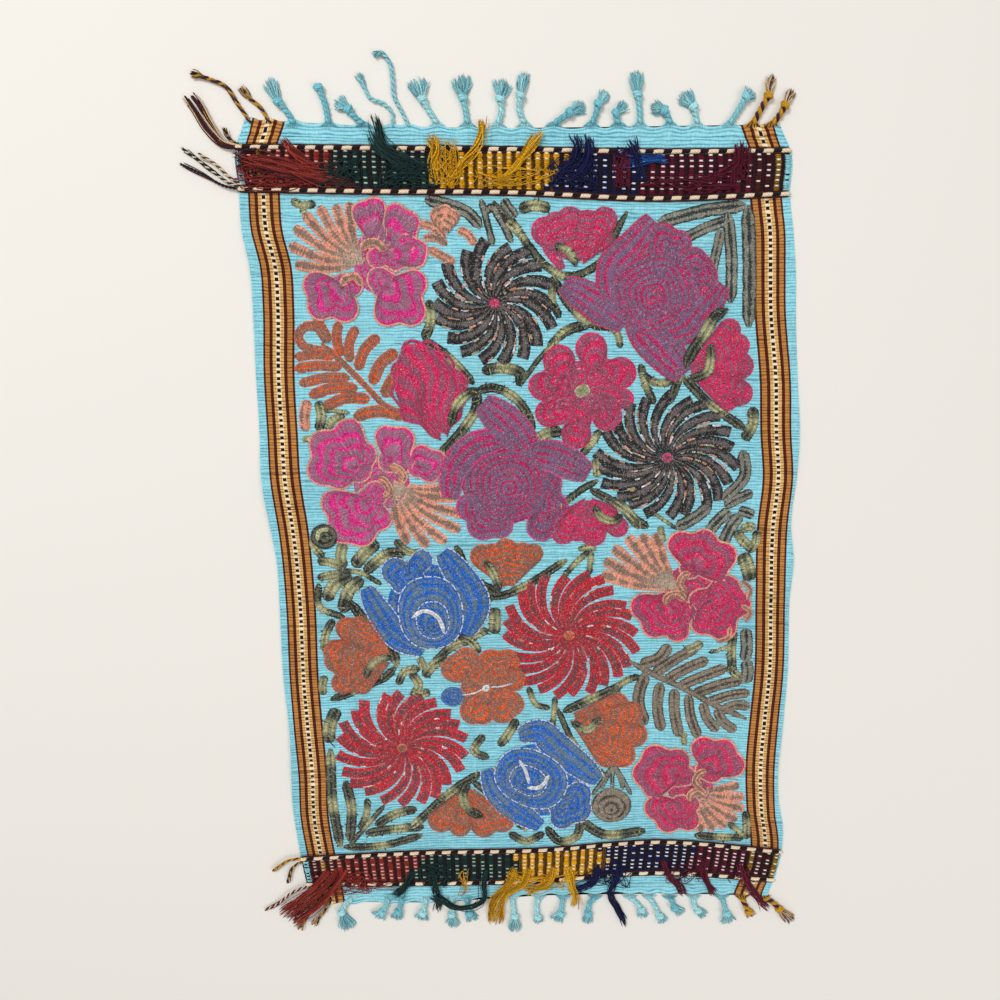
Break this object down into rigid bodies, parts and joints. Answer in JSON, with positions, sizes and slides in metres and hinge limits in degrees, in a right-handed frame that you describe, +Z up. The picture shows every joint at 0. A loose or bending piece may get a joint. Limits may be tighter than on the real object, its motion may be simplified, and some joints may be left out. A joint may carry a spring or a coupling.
{
  "type": "embroidered handwoven cloth",
  "caption": "Light-blue handwoven cloth, dense floral embroidery seen from its reverse, warp-striped sides, brocaded end bands between plied weft cords, knotted warp fringe; lies flat.",
  "frame": {"origin": "middle of the laid cloth, on its underside", "axes": "+X across the loom width, +Y along the warps towards the end with the longer fringe, +Z up from the surface it lies on"},
  "size_m": [0.5947, 0.8537, 0.011],
  "materials": {
    "ground_cloth": "matt ribbed cotton",
    "brocade_yarn": "soft floss in blocks of russet, dark green, gold, navy and plum",
    "weft_cord": "plied cotton in cream and black beside maroon and gold",
    "embroidery_thread": "satin-stitched rayon floss",
    "fringe_yarn": "twisted cotton warp ends"
  },
  "bodies": {
    "root": {"cloth": "ground_cloth", "brocade_top": "brocade_yarn", "brocade_bottom": "brocade_yarn", "cord_top_outer": "weft_cord", "cord_top_inner": "weft_cord", "cord_bottom_inner": "weft_cord", "cord_bottom_outer": "weft_cord", "fringe_top": "fringe_yarn", "fringe_bottom": "fringe_yarn"}
  },
  "joints": []
}
